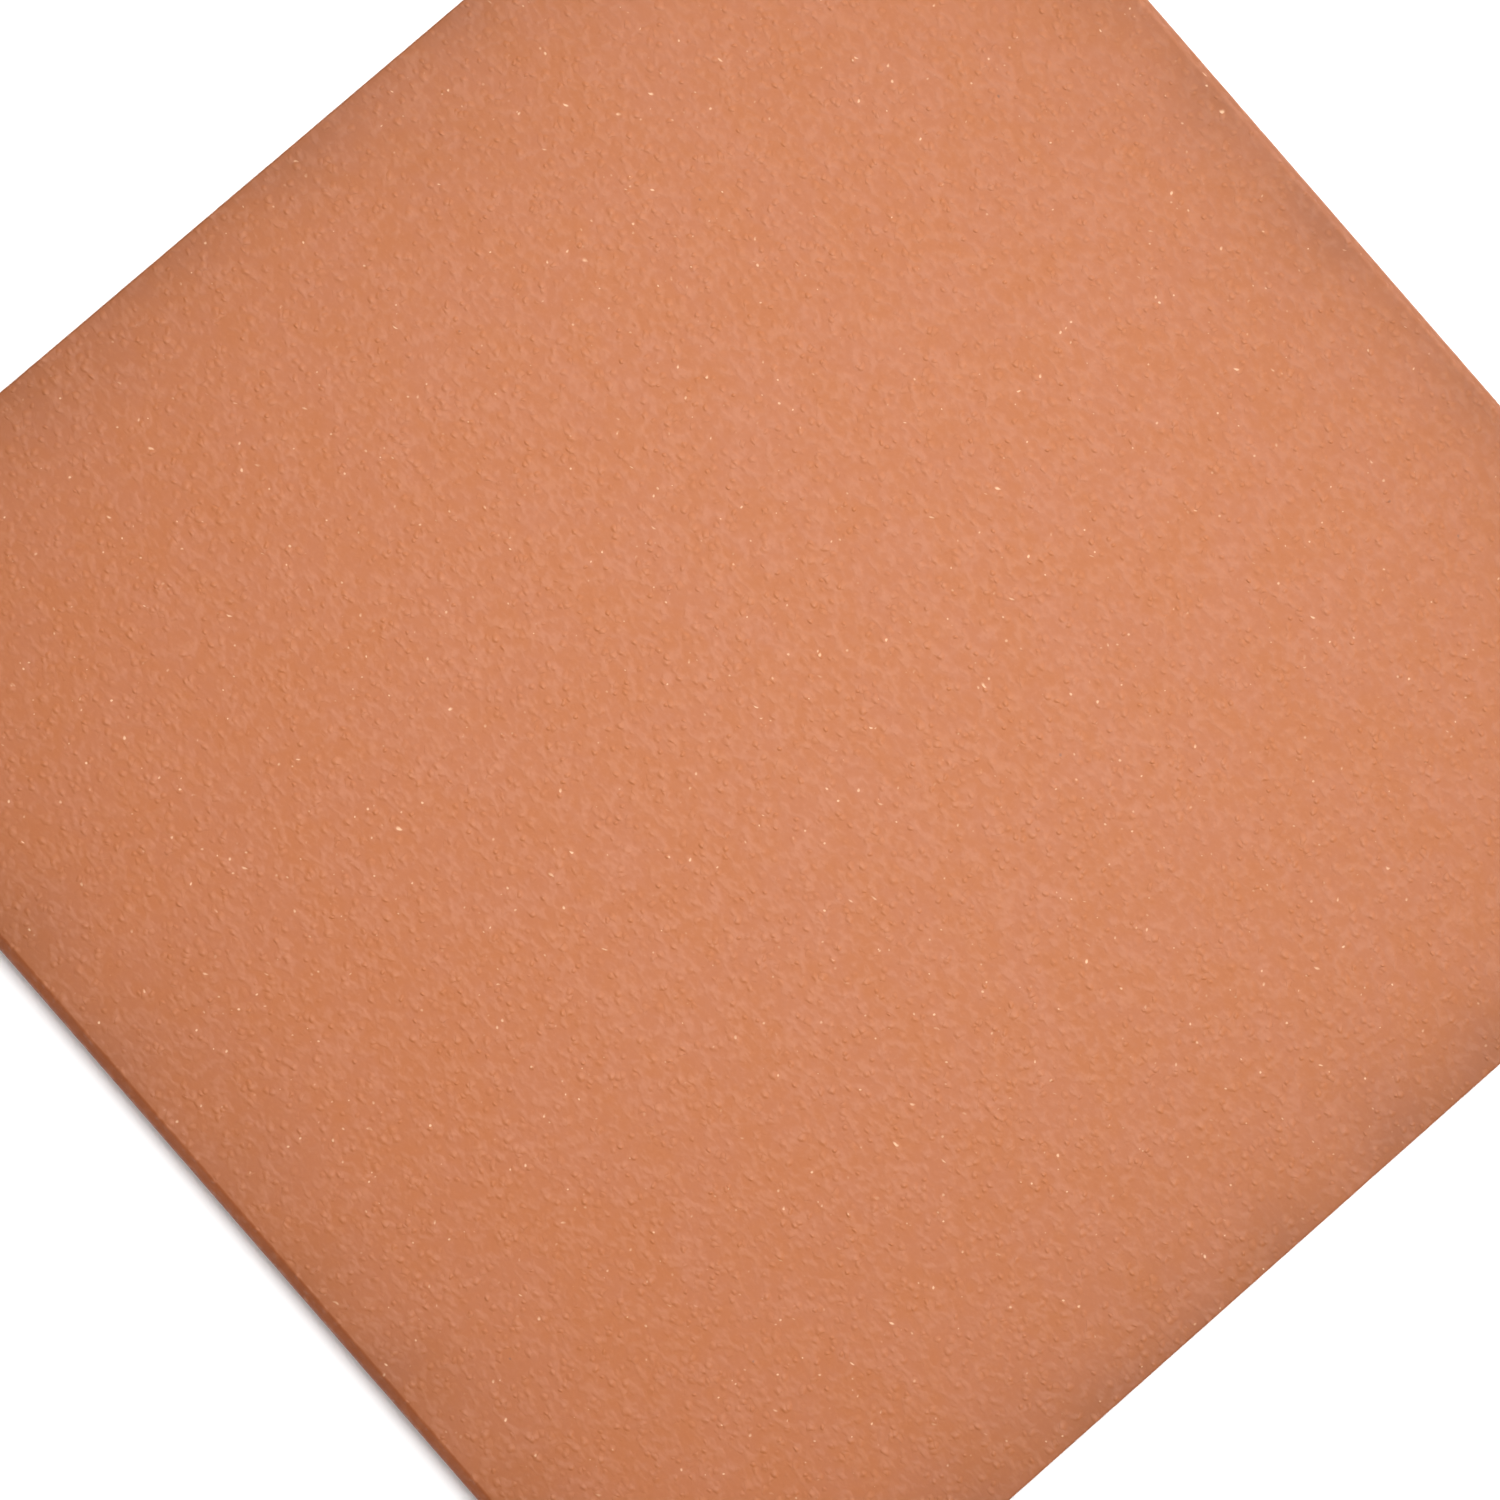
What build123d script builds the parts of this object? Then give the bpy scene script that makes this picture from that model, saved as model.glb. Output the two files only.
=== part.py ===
"""Extruded floor tile: one fired clay piece with a flat walking face and a dovetail-ribbed back.

Stiff clay leaves a die along Y, so the section in XZ is the same all the way, and a wire cuts the
ribbon square at both ends. Z = 0 is the plane that the ribs rest on, and the walking face is up.
The origin is in the middle of the back. Millimetres.
"""

from build123d import *
import math
import os

os.makedirs("parts", exist_ok=True)

# Outside size of the fired tile
tile_width = 300.0        # across the die, from side to side, X
tile_length = 298.0       # along the extrusion, from cut to cut, Y
tile_thickness = 12.0     # rib tips to walking face, Z

# Edges that the die forms
arris_width = 2.1         # bevel at 45 degrees between the walking face and each side
arris_break = 1.0         # rounding where that bevel meets the walking face
side_break = 2.5          # softer rounding where it meets the side
heel_radius = 1.2         # eased edge between each side and the back

# Back: grooves narrower at the mouth than inside, so that the bedding mortar is keyed
groove_count = 14
groove_depth = 2.6
mouth_width = 8.4         # opening between two rib tips
wall_lean = 24.0          # lean of a groove's walls from vertical, in degrees
side_land = 15.8          # flat strip between each side and the first groove's mouth
root_radius = 0.7         # inside corner, where a groove's wall meets its ceiling
tip_radius = 0.5          # outside corner of a rib

# Edges that the cutting wire leaves
cut_arris = 0.4           # narrow bevel rubbed onto both cut ends

hair = 0.001              # heights closer than this are the same

# A groove is widest at its ceiling, and the grooves are spread evenly between the side lands
ceiling_width = mouth_width + 2 * groove_depth * math.tan(math.radians(wall_lean))
first_to_last = tile_width - 2 * side_land - mouth_width
groove_pitch = first_to_last / (groove_count - 1)


def corners_at(sketch, height):
    """Corners of the section at one height above the back, from one side to the other."""
    level = sketch.vertices().filter_by_position(Axis.Y, height - hair, height + hair)
    return level.sort_by(Axis.X)


# The whole tile: its section, pushed through the die and cut at both ends
with BuildPart() as floor_tile:
    with BuildSketch(Plane.XZ) as section:
        Rectangle(tile_width, tile_thickness, align=(Align.CENTER, Align.MIN))
        with GridLocations(groove_pitch, 0, groove_count, 1):
            Trapezoid(
                ceiling_width,
                groove_depth,
                90 + wall_lean,
                align=(Align.CENTER, Align.MIN),
                mode=Mode.SUBTRACT,
            )
        chamfer(corners_at(section, tile_thickness), arris_width)
        fillet(corners_at(section, tile_thickness), arris_break)
        fillet(corners_at(section, tile_thickness - arris_width), side_break)
        fillet(corners_at(section, groove_depth), root_radius)
        rib_tips = corners_at(section, 0)[1:-1]
        fillet(rib_tips, tip_radius)
        heels = corners_at(section, 0)
        fillet([heels[0], heels[-1]], heel_radius)
    extrude(amount=tile_length / 2, both=True)
    cut_ends = floor_tile.faces().filter_by(Axis.Y)
    chamfer(cut_ends.edges(), cut_arris)

floor_tile.part.label = "floor_tile"
export_step(floor_tile.part, "parts/floor_tile.step")
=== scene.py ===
# %% [markdown]
# Extruded floor tile
#
# The object is one piece of fired clay. Stiff clay is pushed through a die as a flat ribbon, a
# wire cuts the ribbon into squares, and the squares are dried and fired. Nothing is glazed or
# glued on, so the whole lesson is about one mesh and one material, made well enough to be
# looked at from very near: a pebbly matt face, two long edges that the die bevelled, two ends
# that a wire cut, and a back with dovetail ribs.

# %% The frame
import math
import bmesh
import bpy
from mathutils import Matrix, Vector


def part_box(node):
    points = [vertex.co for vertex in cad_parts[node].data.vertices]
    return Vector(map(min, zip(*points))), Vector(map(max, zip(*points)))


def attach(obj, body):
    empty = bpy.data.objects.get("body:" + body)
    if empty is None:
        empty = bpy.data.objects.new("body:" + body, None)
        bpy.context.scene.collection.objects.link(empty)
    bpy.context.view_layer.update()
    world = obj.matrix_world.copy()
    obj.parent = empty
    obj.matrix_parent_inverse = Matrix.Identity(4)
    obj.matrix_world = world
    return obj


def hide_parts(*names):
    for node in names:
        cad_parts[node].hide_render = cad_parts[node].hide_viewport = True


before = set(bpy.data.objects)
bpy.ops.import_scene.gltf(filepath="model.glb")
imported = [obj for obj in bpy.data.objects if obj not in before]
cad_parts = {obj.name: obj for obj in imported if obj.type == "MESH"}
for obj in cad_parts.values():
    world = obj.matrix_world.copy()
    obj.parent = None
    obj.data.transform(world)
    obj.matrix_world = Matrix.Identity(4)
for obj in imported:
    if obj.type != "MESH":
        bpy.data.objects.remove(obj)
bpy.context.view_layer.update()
low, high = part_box("floor_tile")
width, length, top = high[0] - low[0], high[1] - low[1], high[2]
print("tile", [round(v, 4) for v in (width, length, top)])

# %% [markdown]
# Sizes
#
# Width, length and thickness come from the frame. The edges and the back are the die's and the
# wire's own sizes. Everything is in metres, so a millimetre gets a name.

# %% Sizes of the die and the wire
mm = 0.001
arris_width = 2.1 * mm        # bevel at 45 degrees between the walking face and each side
arris_break = 1.0 * mm        # rounding where that bevel meets the walking face
side_break = 2.5 * mm         # softer rounding where it meets the side
heel_radius = 1.2 * mm        # rounding between each side and the back
cut_arris = 0.4 * mm          # rubbed edge round the cut ends
groove_count = 14
groove_depth = 2.6 * mm
mouth_width = 8.4 * mm
wall_lean = math.radians(24)  # a groove's walls lean out, so the mortar is keyed
side_land = 15.8 * mm
root_radius = 0.7 * mm
tip_radius = 0.5 * mm
ceiling_width = mouth_width + 2 * groove_depth * math.tan(wall_lean)
first_to_last = width - 2 * side_land - mouth_width
groove_pitch = first_to_last / (groove_count - 1)
groove_centres = [-first_to_last / 2 + n * groove_pitch for n in range(groove_count)]
side_x, end_y = width / 2, length / 2
print("groove pitch", round(groove_pitch / mm, 2), "mm, ceiling", round(ceiling_width / mm, 2), "mm")

# %% [markdown]
# The camera
#
# The photograph looks down on the tile from about a metre, a few degrees off the vertical
# towards one die-formed side, and turned so that the tile stands on a corner. The camera comes
# first, because every later choice is judged through it. Its direction is built from three
# vectors, which is easier to read than three angles.

# %% The camera
view_tilt = math.radians(4.5)       # how far the view leans off the vertical, towards -X
picture_turn = math.radians(48.95)  # where the picture's up direction lies, from +X
view_distance = 1.001
aim = Vector((-11.54 * mm, -2.46 * mm, top))
focal_pixels, picture_side, sensor_width = 5010, 1500, 36

towards_camera = Vector((-math.sin(view_tilt), 0, math.cos(view_tilt)))
picture_up = Vector((math.cos(picture_turn), math.sin(picture_turn), 0))
picture_right = picture_up.cross(towards_camera).normalized()
picture_up = towards_camera.cross(picture_right)

bpy.ops.object.camera_add(location=aim + view_distance * towards_camera)
camera = bpy.context.object
camera.name = "camera"
camera.rotation_mode = "QUATERNION"
camera_axes = Matrix((picture_right, picture_up, towards_camera)).transposed()
camera.rotation_quaternion = camera_axes.to_quaternion()
camera.data.sensor_width = sensor_width
camera.data.lens = focal_pixels / picture_side * sensor_width
camera.data.clip_start, camera.data.clip_end = 0.01, 50
bpy.context.scene.camera = camera
print("lens", round(camera.data.lens, 1), "mm, camera at", [round(v, 3) for v in camera.location])

# %% [markdown]
# Picking edges and faces by their place
#
# An operator acts on what is selected. Working by hand, one clicks. Here a short test says
# which edges or faces are meant, by their place or normal, and everything else is let go first.

# %% Helpers for picking
near = 0.02 * mm
print("places are the same within", near / mm, "mm")


def pick(kind, test):
    """In edit mode, selects the edges or faces that pass a test, and nothing else."""
    bpy.ops.mesh.select_mode(type=kind)
    bpy.ops.mesh.select_all(action="DESELECT")
    data = bpy.context.edit_object.data
    shape = bmesh.from_edit_mesh(data)
    chosen = [part for part in (shape.faces if kind == "FACE" else shape.edges) if test(part)]
    for part in chosen:
        part.select_set(True)
    bmesh.update_edit_mesh(data)
    return len(chosen)


def ends_of(edge):
    """The two end points of an edge."""
    return edge.verts[0].co, edge.verts[1].co


def along_y(edge):
    """Whether an edge runs with the extrusion."""
    a, b = ends_of(edge)
    return abs(a.x - b.x) < near and abs(a.z - b.z) < near


def at(value, place):
    """Whether two lengths are the same, but for a hair."""
    return abs(value - place) < near


# %% [markdown]
# The slab and its ribs
#
# The back could be cut with a boolean, but that leaves untidy faces where a groove runs out of
# the end. Growing the ribs instead is cleaner: start from a slab as thick as the clay above the
# grooves, mark strips on its underside, and push the strips between the grooves down.

# %% A slab with strips marked on its underside
rim_y = end_y - cut_arris         # where the rubbed edge round each cut end begins

bpy.ops.object.select_all(action="DESELECT")
bpy.ops.mesh.primitive_cube_add(
    size=1,
    location=(0, 0, (groove_depth + top) / 2),
    scale=(width, 2 * rim_y, top - groove_depth),
)
tile = bpy.context.object
tile.name = "fired_tile"
bpy.ops.object.transform_apply(location=True, rotation=True, scale=True)
bpy.ops.object.mode_set(mode="EDIT")

for centre in groove_centres:
    for wall_x in (centre - ceiling_width / 2, centre + ceiling_width / 2):
        pick("FACE", lambda face: face.normal.z < -0.9)
        bpy.ops.mesh.bisect(plane_co=(wall_x, 0, 0), plane_no=(1, 0, 0))


def between_grooves(face):
    """Whether a strip of the underside lies between two grooves, or beside the outer ones."""
    middle = face.calc_center_median().x
    return face.normal.z < -0.9 and all(abs(middle - c) > near for c in groove_centres)


rib_count = pick("FACE", between_grooves)
bpy.ops.mesh.extrude_region_move(TRANSFORM_OT_translate={"value": (0, 0, -groove_depth)})
print("ribs", rib_count)

# %% [markdown]
# Dovetails
#
# A real groove is narrower at its mouth than at its ceiling, which is what holds the tile in
# its bed. Each pair of rib tips is drawn together about the groove's middle. The little coplanar
# faces that the strips left on the ends and sides are dissolved, so that each end is one face.

# %% Draw the rib tips together
for centre in groove_centres:
    reach = ceiling_width / 2 + near
    pick("EDGE", lambda edge: all(at(p.z, 0) and abs(p.x - centre) < reach for p in ends_of(edge)))
    bpy.ops.transform.resize(
        value=(mouth_width / ceiling_width, 1, 1), center_override=(centre, 0, 0)
    )
for axis in ((0, 1, 0), (0, -1, 0), (1, 0, 0), (-1, 0, 0)):
    pick("FACE", lambda face: face.normal.dot(Vector(axis)) > 0.99)
    bpy.ops.mesh.dissolve_faces()
print("faces before the edges are eased", len(bmesh.from_edit_mesh(tile.data).faces))

# %% [markdown]
# Eased edges
#
# The die gives the long edges a bevel at 45 degrees. Its line with the face is crisp and its
# line with the side is soft: in the photograph the bevel begins sharply and then pales little
# by little towards the outside. The operator measures its width along the faces, so a
# rounding's width is its radius over the tangent of half the angle between them. One segment
# makes the bevel flat.

# %% Bevel the edges
lip_angle = math.pi / 2 - wall_lean
bevel_angle = math.radians(135)
break_reach = arris_break / math.tan(bevel_angle / 2)
side_reach = side_break / math.tan(bevel_angle / 2)


def ease(test, radius, segments, corner=math.pi / 2):
    """Rounds the edges that pass a test to a radius, where faces meet at a corner angle."""
    count = pick("EDGE", test)
    bpy.ops.mesh.bevel(
        offset_type="OFFSET",
        offset=radius / math.tan(corner / 2),
        segments=segments,
        affect="EDGES",
        clamp_overlap=False,
    )
    return count


def inner(edge):
    """Whether an edge along the extrusion lies inside the sides."""
    return along_y(edge) and abs(edge.verts[0].co.x) < side_x - near


def on_side(edge, height):
    """Whether an edge along the extrusion lies on a side, at a height."""
    corner = edge.verts[0].co
    return along_y(edge) and at(abs(corner.x), side_x) and at(corner.z, height)


roots = ease(lambda e: inner(e) and at(e.verts[0].co.z, groove_depth), root_radius, 2, lip_angle)
tips = ease(lambda e: inner(e) and at(e.verts[0].co.z, 0), tip_radius, 2, lip_angle)
heels = ease(lambda e: on_side(e, 0), heel_radius, 3)
arrises = ease(lambda e: on_side(e, top), arris_width, 1)


def on_face_line(edge):
    """Whether an edge along the extrusion is where the bevel meets the walking face."""
    corner = edge.verts[0].co
    return along_y(edge) and at(corner.z, top) and at(abs(corner.x), side_x - arris_width)


breaks = ease(on_face_line, arris_break, 3, bevel_angle)
breaks += ease(lambda e: on_side(e, top - arris_width), side_break, 4, bevel_angle)
print("roots", roots, "tips", tips, "heels", heels, "arrises", arrises, "breaks", breaks)

# %% [markdown]
# Cut ends
#
# The wire leaves a sharp edge all round each end, and handling rubs it down to a fraction of a
# millimetre. A bevel would have to turn a corner at each of the section's points, so the ends
# are grown instead: each end face is drawn in a little and pushed out a little, twice, along a
# quarter of a circle.

# %% Grow the rubbed edges of the cut ends
quarter = math.radians(45)
for draw_in, push_out in (
    (1 - math.cos(quarter), math.sin(quarter)),
    (math.cos(quarter), 1 - math.sin(quarter)),
):
    ends = pick("FACE", lambda face: abs(face.normal.y) > 0.999)
    bpy.ops.mesh.inset(thickness=draw_in * cut_arris, depth=push_out * cut_arris)
bpy.ops.object.mode_set(mode="OBJECT")
print("cut ends", ends, "polygons", len(tile.data.polygons))

# %% [markdown]
# A face fine enough to carry its pebbles
#
# The walking face isn't a mirror: under a low light it shows a soft pebbly skin. A material can
# fake that, but a real outline needs real clay, so the face is divided into cells of about a
# millimetre. The sides and the upper part of the ends get rows of the same kind. The subdivide
# operator takes few cuts at a time, so it runs twice. The back stays coarse: it has no pebbles,
# and the triangles are wanted on top.

# %% Divide the face, the sides and the cut ends
cell_steps = (16, 17)             # a long edge becomes 16 times 17 cells
side_rows, bevel_rows = 5, 3
face_x = side_x - arris_width - break_reach   # where the flat face ends
row_foot = groove_depth + 0.8 * mm
row_head = top - arris_width - side_reach     # where the flat side ends
bevel_foot = top - arris_width + side_reach * math.sin(math.radians(45))
bevel_head = top - break_reach * math.sin(math.radians(45))


def marks(start, stop, count):
    """The heights that divide a stretch into equal rows, both ends among them."""
    return [start + (stop - start) * n / count for n in range(count + 1)]


def divide(test):
    """Divides the edges that pass a test into cells."""
    for parts in cell_steps:
        pick("EDGE", test)
        bpy.ops.mesh.subdivide(number_cuts=parts - 1)


def outside_line(edge):
    """Whether an edge along the extrusion bounds the face, or lies on an arris, side or heel."""
    return along_y(edge) and abs(edge.verts[0].co.x) > face_x - near


def across_line(edge):
    """Whether an edge across the die lies on the face or the upper part of a cut end."""
    a, b = ends_of(edge)
    level = abs(a.y - b.y) < near and abs(a.z - b.z) < near
    on_end = abs(a.y) > rim_y - near and a.z > row_foot - near
    return level and max(abs(a.x), abs(b.x)) < face_x + near and (at(a.z, top) or on_end)


bpy.ops.object.mode_set(mode="EDIT")
bevel_marks = marks(bevel_foot, bevel_head, bevel_rows)
for height in marks(row_foot, row_head, side_rows) + bevel_marks[1:-1]:
    bpy.ops.mesh.select_all(action="SELECT")
    bpy.ops.mesh.bisect(plane_co=(0, 0, height), plane_no=(0, 0, 1))
for cut_x in (-face_x, face_x):
    pick("FACE", lambda face: abs(face.normal.y) > 0.3 and face.calc_center_median().z > row_foot)
    bpy.ops.mesh.bisect(plane_co=(cut_x, 0, 0), plane_no=(1, 0, 0))
divide(outside_line)
divide(across_line)
bpy.ops.object.mode_set(mode="OBJECT")
print("polygons", len(tile.data.polygons))

# %% [markdown]
# The pebbly skin
#
# Stiff clay leaves the die with a faint unevenness, a few hundredths of a millimetre deep. Two
# layers of clouds are pressed into the divided faces by displace modifiers. Their middle level
# is the highest value of the clouds, so the skin only ever sinks and the tile keeps its outside
# size. The back isn't in the group, so the ribs still stand on one plane.

# %% Press the unevenness into the skin
skin = tile.vertex_groups.new(name="skin")
skin.add([v.index for v in tile.data.vertices if v.co.z > row_foot + near], 1, "REPLACE")


def press(name, size, depth):
    """Sinks the skin under clouds of a size, down to a depth."""
    clouds = bpy.data.textures.new(name, "CLOUDS")
    clouds.noise_scale = size
    clouds.noise_depth = 1
    bpy.ops.object.modifier_add(type="DISPLACE")
    relief = tile.modifiers[-1]
    relief.texture = clouds
    relief.vertex_group = "skin"  # by name: applying a modifier replaces the group itself
    relief.mid_level = 1
    relief.strength = depth
    bpy.ops.object.modifier_apply(modifier=relief.name)


press("pebbles", 3.2 * mm, 0.05 * mm)
press("swell", 24 * mm, 0.04 * mm)
points = [v.co for v in tile.data.vertices if v.co.z > top / 2]
heights = [p.z for p in points if abs(p.x) < face_x and abs(p.y) < rim_y]
print("the face sinks", [round((top - z) / mm, 3) for z in (max(heights), min(heights))], "mm")

# %% [markdown]
# Smooth shading
#
# Edges that turn by less than 50 degrees are shaded smooth, so the roundings don't look faceted.
# That alone would bend the light on the big flat faces beside them. Weighting each normal by the
# faces' areas mends it: the flat faces keep their own normals, and the roundings take up the turn.

# %% Shade the clay
smooth_below = math.radians(50)
bpy.ops.object.shade_smooth_by_angle(angle=smooth_below)
bpy.ops.object.modifier_add(type="WEIGHTED_NORMAL")
weighting = tile.modifiers[-1]
weighting.keep_sharp = True
bpy.ops.object.modifier_apply(modifier=weighting.name)
triangles = sum(len(polygon.vertices) - 2 for polygon in tile.data.polygons)
print("modifiers left", len(tile.modifiers), "triangles", triangles)

# %% [markdown]
# The fired clay
#
# One body of clay has one material. It reads the object's own coordinates, so the pattern is
# the same size everywhere and stays in place when the tile turns. Five helpers keep the node
# tree readable: they add a node and join its inputs, do a sum, ease a value between two ends,
# mix two colours, and make a noise whose grains have a given size.

# %% Start the material
clay = bpy.data.materials.new("red_clay")
clay.use_nodes = True
tree = clay.node_tree
tree.nodes.clear()


def node(kind, inputs, **settings):
    """Adds a node with its settings, and joins or sets its inputs."""
    made = tree.nodes.new("ShaderNode" + kind)
    for name, value in settings.items():
        setattr(made, name, value)
    for key, value in inputs.items():
        if isinstance(value, bpy.types.NodeSocket):
            tree.links.new(value, made.inputs[key])
        else:
            made.inputs[key].default_value = value
    return made


def calc(operation, *values):
    """The result of a math node."""
    return node("Math", dict(enumerate(values)), operation=operation).outputs[0]


def span(value, low_end, high_end, first=0, last=1):
    """A value's place between two ends, eased and kept inside them."""
    inputs = {"Value": value, "From Min": low_end, "From Max": high_end, "To Min": first}
    inputs["To Max"] = last
    return node("MapRange", inputs, interpolation_type="SMOOTHSTEP").outputs["Result"]


def mix(amount, under, over, mode="MIX"):
    """One colour mixed into another. A Mix node's colours are its inputs 6 and 7 and output 2."""
    made = node("Mix", {"Factor": amount}, data_type="RGBA", blend_type=mode)
    for socket, value in ((made.inputs[6], under), (made.inputs[7], over)):
        if isinstance(value, bpy.types.NodeSocket):
            tree.links.new(value, socket)
        else:
            socket.default_value = (*value, 1)
    return made.outputs[2]


place = node("TexCoord", {}).outputs["Object"]
drawn = node("Mapping", {"Vector": place, "Scale": (1, 0.7, 1)}).outputs["Vector"]


def noise(size, detail=2.0, roughness=0.5, vector=drawn, shift=0):
    """A noise whose grains have a size, drawn out a little along the extrusion."""
    moved = vector
    if shift:
        moved = node("Mapping", {"Vector": vector, "Location": (shift, shift, shift)}).outputs["Vector"]
    inputs = {"Vector": moved, "Scale": 1 / size, "Detail": detail, "Roughness": roughness}
    return node("TexNoise", inputs).outputs["Fac"]


print("nodes so far", len(tree.nodes))

# %% [markdown]
# The colour of the body
#
# Fired red clay is never one colour. Iron burns orange where it is rich and pink where a little
# lime or salt sits on the skin, in soft blots about a centimetre across, and each blot is grainy.

# %% Colour the body
orange = (0.328, 0.097, 0.0246)
pink = (0.329, 0.101, 0.0338)
blots = span(noise(8 * mm, 2, 0.6), 0.34, 0.66)
grain = noise(0.8 * mm, 2, 0.6, shift=0.1)
body = mix(blots, orange, pink)
body = mix(calc("MULTIPLY", span(grain, 0.5, 0.8), 0.08), body, (0.62, 0.26, 0.14))
body = mix(calc("MULTIPLY", span(grain, 0.5, 0.2), 0.12), body, (0.25, 0.062, 0.018))
print("nodes with the body's colour", len(tree.nodes))

# %% [markdown]
# The darker margin
#
# The tile is a shade browner along all four edges. The kiln's gases reach the edges of a
# stacked tile more than its middle, and the change fades out within a few centimetres. Two
# exponential falls, one from each pair of edges, add up at the corners as they do on the tile.
# Two more tones are painted shade: the -X half, turned away from the lights, is painted a shade
# redder, and the bevel on that side, which faces away from them, is painted darker again. One grows
# slowly across the face and one starts where it ends.

# %% Darken the margin
fade_length = 12 * mm
margin_colour = (0.742, 0.712, 0.636)
wander = calc("MULTIPLY", calc("SUBTRACT", noise(20 * mm, 0, vector=place), 0.5), 14 * mm)
axes = node("SeparateXYZ", {"Vector": place}).outputs


def flash(axis, edge):
    """How much of the margin's colour a point has, by its distance from one pair of edges."""
    inside = calc("SUBTRACT", edge, calc("ABSOLUTE", axis))
    worn = calc("ADD", inside, wander)
    return calc("EXPONENT", calc("DIVIDE", calc("MULTIPLY", calc("MAXIMUM", worn, 0), -1), fade_length))


margin = calc("MINIMUM", calc("ADD", flash(axes["X"], side_x), flash(axes["Y"], end_y)), 1)
body = mix(margin, body, mix(1, body, margin_colour, "MULTIPLY"))
# painted shade: the -X half, away from the lights, gets a redder, darker tint
far_side_shade_tint = (1, 0.95, 0.84)
far_side_shade = span(axes["X"], 0.2 * side_x, -side_x)
body = mix(far_side_shade, body, mix(1, body, far_side_shade_tint, "MULTIPLY"))
# painted shade: the -X bevel and side, facing away from the lights, are painted darker
bevel_shade_colour = (0.93, 0.76, 0.45)
bevel_shade = span(axes["X"], -face_x, -side_x + arris_width)
body = mix(bevel_shade, body, mix(1, body, bevel_shade_colour, "MULTIPLY"))
print("the margin fades over", round(fade_length / mm), "mm and more")

# %% [markdown]
# Glints and pits
#
# Grains of quartz and mica sit in the skin and catch the light: their glints are painted highlights,
# pale specks in the colour, round or drawn out, less than a millimetre long. A few grains have fallen
# out and left pits, which have no hollow and are painted dark as painted shade. A Voronoi pattern
# scatters them, and only the cells whose random colour is high enough get one. A fine noise ruffles
# the pattern, so that no speck is a perfect disc, and makes some painted glints fainter.

# %% Scatter glints and pits
waves = noise(1.7 * mm, 1, shift=0.4)
push = calc("MULTIPLY", waves, 1.2 * mm)
push = node("CombineXYZ", {"X": push, "Y": push}).outputs[0]
ruffled = node("VectorMath", {0: place, 1: push}, operation="ADD").outputs[0]


def scatter(spacing, radius, share, stretch, turn=0.0, shift=0.0, rarity=2.0, core=0.3):
    """Specks in a share of the cells, drawn out, each 0.6 to 1.4 times the radius in size.

    A rarity above 1 makes strong specks rare, and the core is the part of a speck that is full.
    """
    spin = (0, 0, turn)
    move = (shift, shift, 0)
    inputs = {"Vector": ruffled, "Location": move, "Rotation": spin, "Scale": stretch}
    turned = node("Mapping", inputs, vector_type="TEXTURE").outputs["Vector"]
    cells = node("TexVoronoi", {"Vector": turned, "Scale": 1 / spacing}).outputs
    chances = node("SeparateColor", {"Color": cells["Color"]}).outputs
    chosen = calc("GREATER_THAN", chances[0], 1 - share)
    size = calc("ADD", calc("MULTIPLY", chances[1], 0.8), 0.6)
    speck = span(calc("DIVIDE", cells["Distance"], size), radius / spacing, core * radius / spacing)
    strength = calc("POWER", chances[2], rarity)
    return calc("MULTIPLY", chosen, calc("MULTIPLY", speck, strength))


specks = scatter(1.5 * mm, 0.30 * mm, 0.22, (1, 1, 1), shift=0.2, rarity=3)
slivers = scatter(2.0 * mm, 0.24 * mm, 0.2, (1, 2.6, 1), turn=0.5, shift=0.5)
painted_glint = calc("MAXIMUM", specks, slivers)
pit_shade = scatter(6 * mm, 0.34 * mm, 0.08, (1, 1, 1), shift=0.9)
painted_glint = calc("MULTIPLY", painted_glint, span(waves, 0.35, 0.65, 0.1, 0.5))
# painted glints: pale specks mixed into the colour stand in for highlights on the grains
body = mix(painted_glint, body, (0.92, 0.62, 0.38))
# painted shade: dark dots stand in for the pits' hollows, which the mesh doesn't have
body = mix(calc("MULTIPLY", pit_shade, 0.7), body, (0.16, 0.06, 0.03))
print("nodes with glints and pits", len(tree.nodes))

# %% [markdown]
# Blisters and folds
#
# What is finer than the mesh is a bump: soft blisters about a millimetre across and low folds
# between them. What stands up is also painted a little paler, a painted highlight where the light
# catches the tops. All heights are in millimetres.

# %% Raise blisters and folds
blisters = scatter(1.5 * mm, 0.9 * mm, 0.9, (1, 1.1, 1), shift=1.1, rarity=1.2, core=0)
folds = span(waves, 0.44, 0.76)
raised = calc("ADD", blisters, calc("MULTIPLY", folds, 0.45))
# painted highlight: the raised blisters and folds are painted paler
body = mix(calc("MULTIPLY", raised, 0.2), body, (0.47, 0.18, 0.08))
relief_height = 0.14
height = calc("MULTIPLY", raised, relief_height)
print("a full blister stands", relief_height, "mm high")

# %% [markdown]
# Marks of the die and the wire
#
# The die's walls comb fine lines into the sides and the back, all along the extrusion. The
# cutting wire pulls grains down through the thickness, so its scratches on the cut ends stand
# upright. Both are the same noise, drawn out very far in one direction or the other. A Mix
# node chooses: its vectors are inputs 4 and 5 and output 1.

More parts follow.
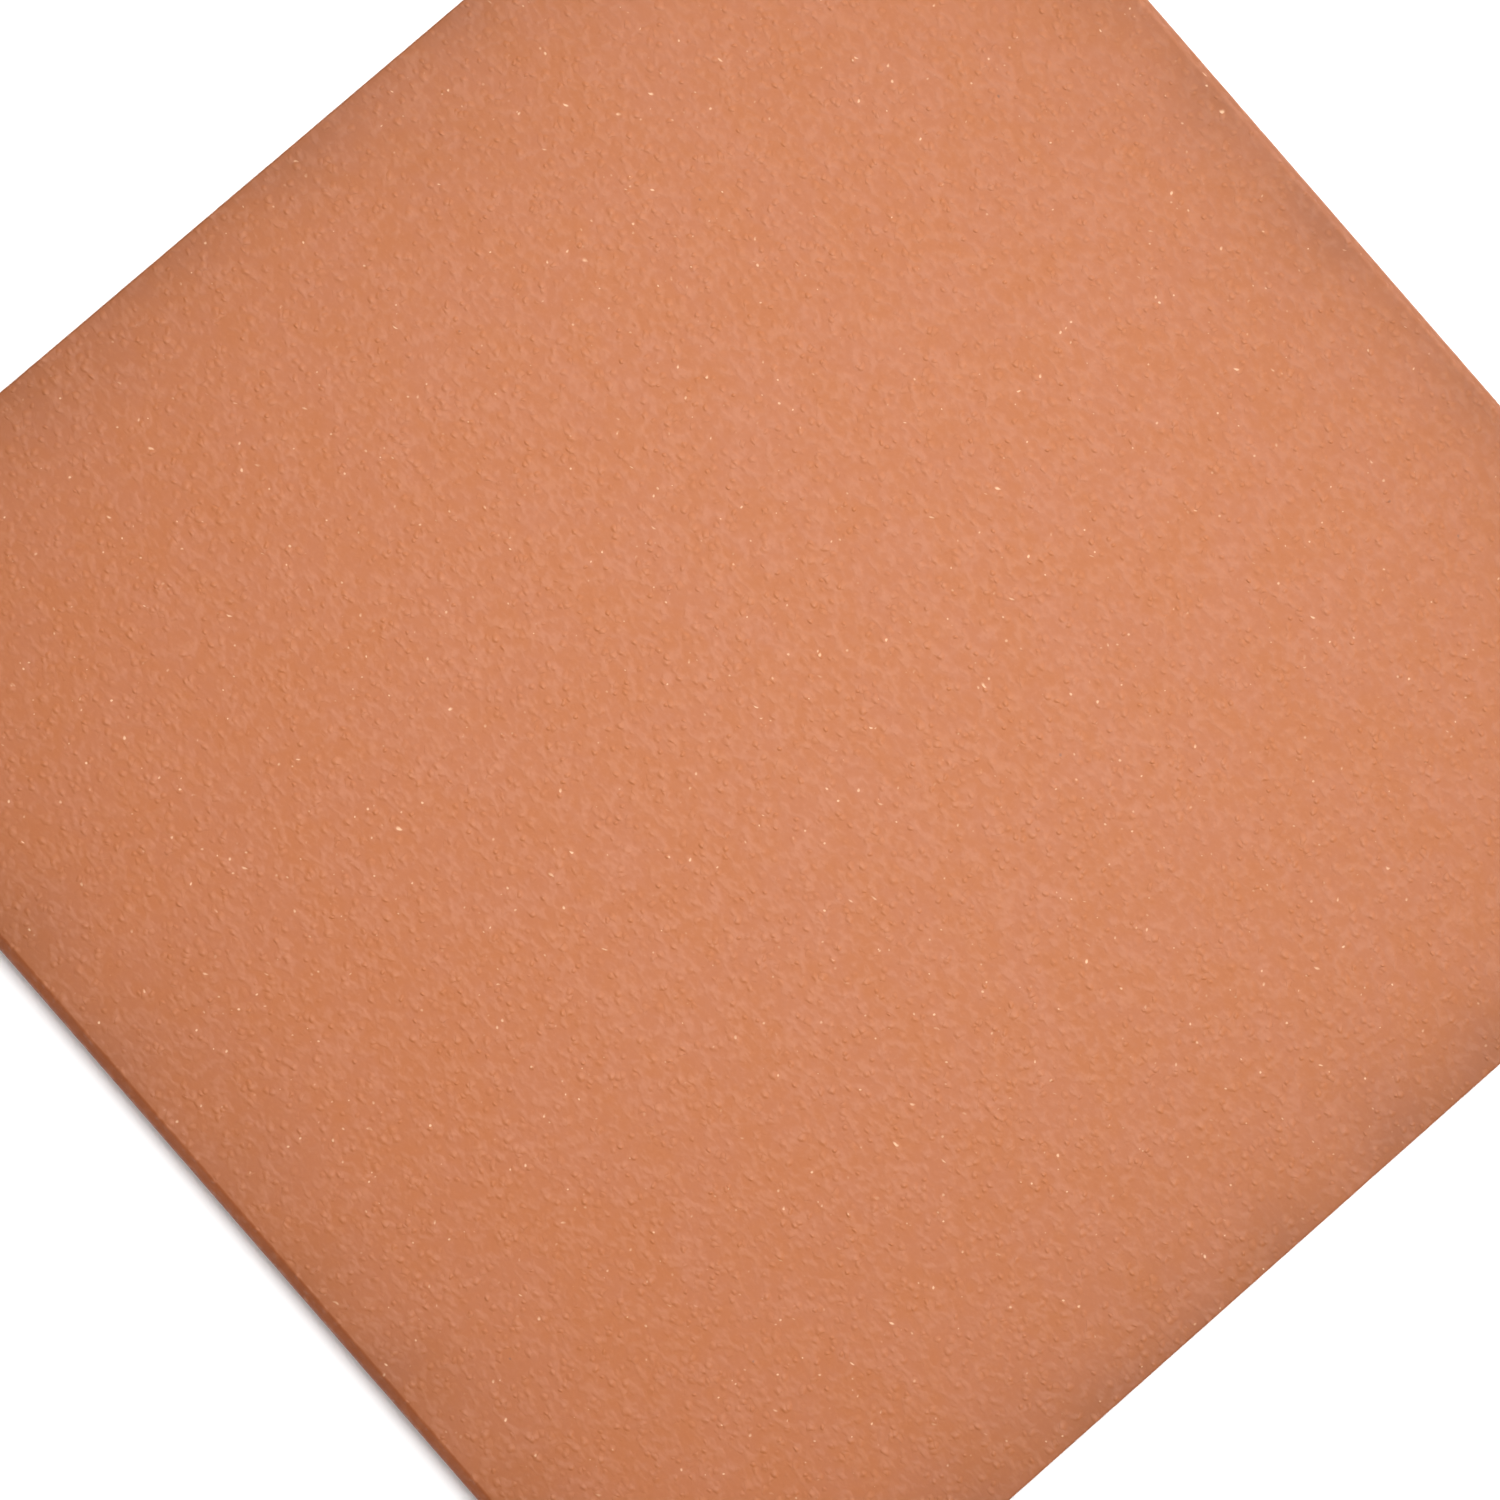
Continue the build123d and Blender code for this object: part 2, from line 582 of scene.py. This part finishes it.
# %% Comb the sides, the back and the cut ends
on_end = calc("GREATER_THAN", calc("ABSOLUTE", axes["Y"]), rim_y)
along = node("VectorMath", {0: place, 1: (1, 0.015, 1)}, operation="MULTIPLY").outputs[0]
upright = node("VectorMath", {0: place, 1: (1, 1, 0.05)}, operation="MULTIPLY").outputs[0]
drag = node("Mix", {"Factor": on_end, 4: along, 5: upright}, data_type="VECTOR")
lines = noise(0.6 * mm, 1, 0.6, drag.outputs[1])
below_face = span(axes["Z"], top - 0.3 * mm, top - arris_width, 0, 0.08)
depth = calc("MAXIMUM", below_face, calc("MULTIPLY", on_end, 0.25))
height = calc("ADD", height, calc("MULTIPLY", lines, depth))
print("the rubbed edge takes", round((end_y - rim_y) / mm, 2), "mm of each cut end")

# %% [markdown]
# Gloss
#
# Unglazed clay has a soft sheen that changes from spot to spot. All the heights go through one
# bump node, whose distance is a millimetre because they were added in millimetres.

# %% Join relief, gloss and colour
bump = node("Bump", {"Height": height, "Distance": mm, "Strength": 1}).outputs["Normal"]
gloss = span(waves, 0.3, 0.7, 0.62, 0.54)
finish = {"Base Color": body, "Roughness": gloss, "Specular IOR Level": 0.38, "Normal": bump}
shader = node("BsdfPrincipled", finish)
node("OutputMaterial", {"Surface": shader.outputs["BSDF"]})
tile.data.materials.clear()
tile.data.materials.append(clay)
print("nodes in the clay", len(tree.nodes))

# %% [markdown]
# The floor and the light
#
# The photograph has a white ground, lit brightly enough to lose its own surface, so only the
# narrow shadow along one side shows. A soft light hangs high over the tile and makes its middle
# the brightest part. A wide one stands low on the +X side: it shows the grain and casts the
# narrow shadow. Pale surroundings fill that shadow.

# %% Lay the floor and hang the light
bpy.ops.mesh.primitive_plane_add(size=12)
floor = bpy.context.object
floor.name = "floor"
ground = bpy.data.materials.new("pale_ground")
ground.use_nodes = True
ground_shader = ground.node_tree.nodes["Principled BSDF"]
ground_shader.inputs["Base Color"].default_value = (0.95, 0.95, 0.95, 1)
ground_shader.inputs["Roughness"].default_value = 0.9
ground_shader.inputs["Specular IOR Level"].default_value = 0.2
floor.data.materials.append(ground)


def hang(name, light_place, lit_spot, size, power, spread):
    """Hangs a square soft light that faces a spot, with a grid that narrows its spread."""
    bpy.ops.object.light_add(type="AREA", location=light_place)
    softbox = bpy.context.object
    softbox.name = name
    softbox.data.size = size
    softbox.data.energy = power
    softbox.data.spread = spread
    softbox.visible_camera = False
    softbox.rotation_mode = "QUATERNION"
    softbox.rotation_quaternion = (Vector(light_place) - Vector(lit_spot)).to_track_quat("Z", "Y")


hang(
    "high_light",
    light_place=(0.18, 0.0, 1.1),
    lit_spot=(0.02, 0, 0),
    size=0.45,
    power=1.08,
    spread=math.radians(46),
)
hang(
    "side_light",
    light_place=(1.7, 0.1, 0.75),
    lit_spot=(0, 0, 0),
    size=0.6,
    power=10.3,
    spread=math.radians(120),
)

world = bpy.data.worlds.new("pale_room")
bpy.context.scene.world = world
world.use_nodes = True
sky = world.node_tree.nodes["Background"]
sky.inputs["Color"].default_value = (1, 1, 1, 1)
sky.inputs["Strength"].default_value = 0.6
bpy.context.scene.view_settings.view_transform = "Standard"
lights = [thing.name for thing in bpy.data.objects if thing.type == "LIGHT"]
print("lights", lights, "room", round(sky.inputs["Strength"].default_value, 2))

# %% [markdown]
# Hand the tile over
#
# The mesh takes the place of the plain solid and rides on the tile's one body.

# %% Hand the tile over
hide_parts("floor_tile")
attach(tile, "root")
